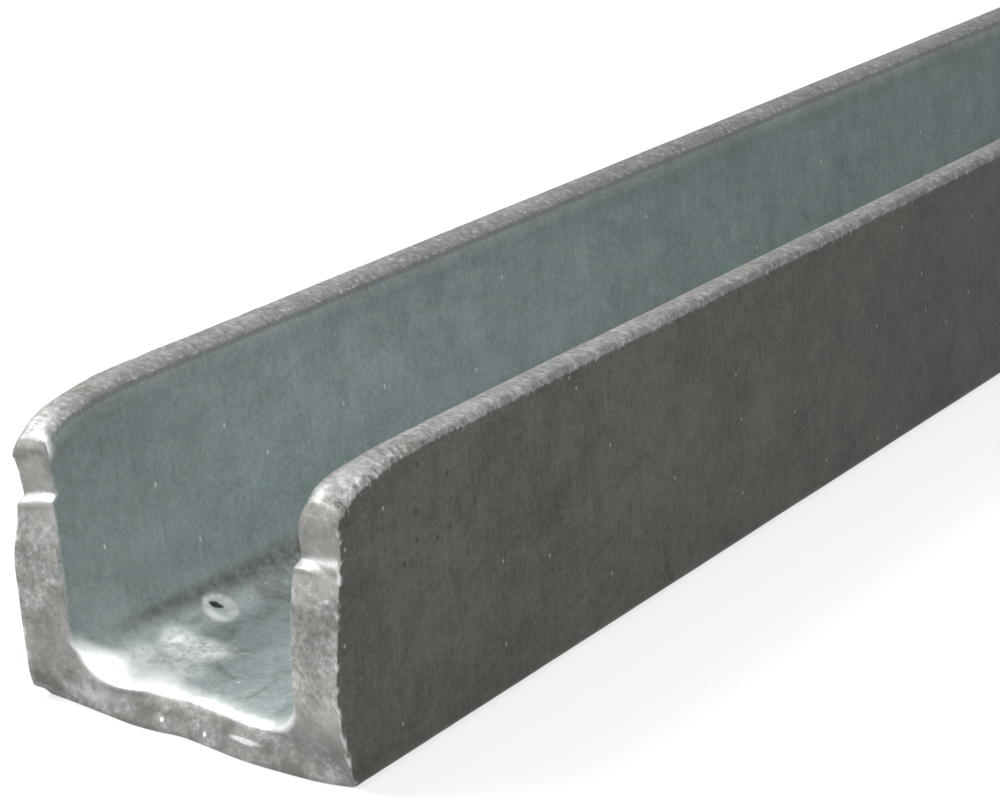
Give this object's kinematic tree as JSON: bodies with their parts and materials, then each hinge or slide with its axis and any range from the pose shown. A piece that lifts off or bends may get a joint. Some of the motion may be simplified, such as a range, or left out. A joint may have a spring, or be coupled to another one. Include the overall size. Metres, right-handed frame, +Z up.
{
  "type": "galvanized steel u-channel",
  "caption": "Length of hot-rolled steel channel with tapered flanges, lying on its web, galvanized after one end was sheared.",
  "frame": {"origin": "middle of the rectangle that the bar covers on the floor, at the underside of the web", "axes": "+X across the web, +Y along the bar towards its square end, +Z up out of the trough"},
  "size_m": [0.05, 0.5, 0.038],
  "materials": {
    "galvanized_steel": "hot-dip galvanized, weathered matt grey"
  },
  "bodies": {
    "root": {"u_channel": "galvanized_steel"}
  },
  "joints": []
}
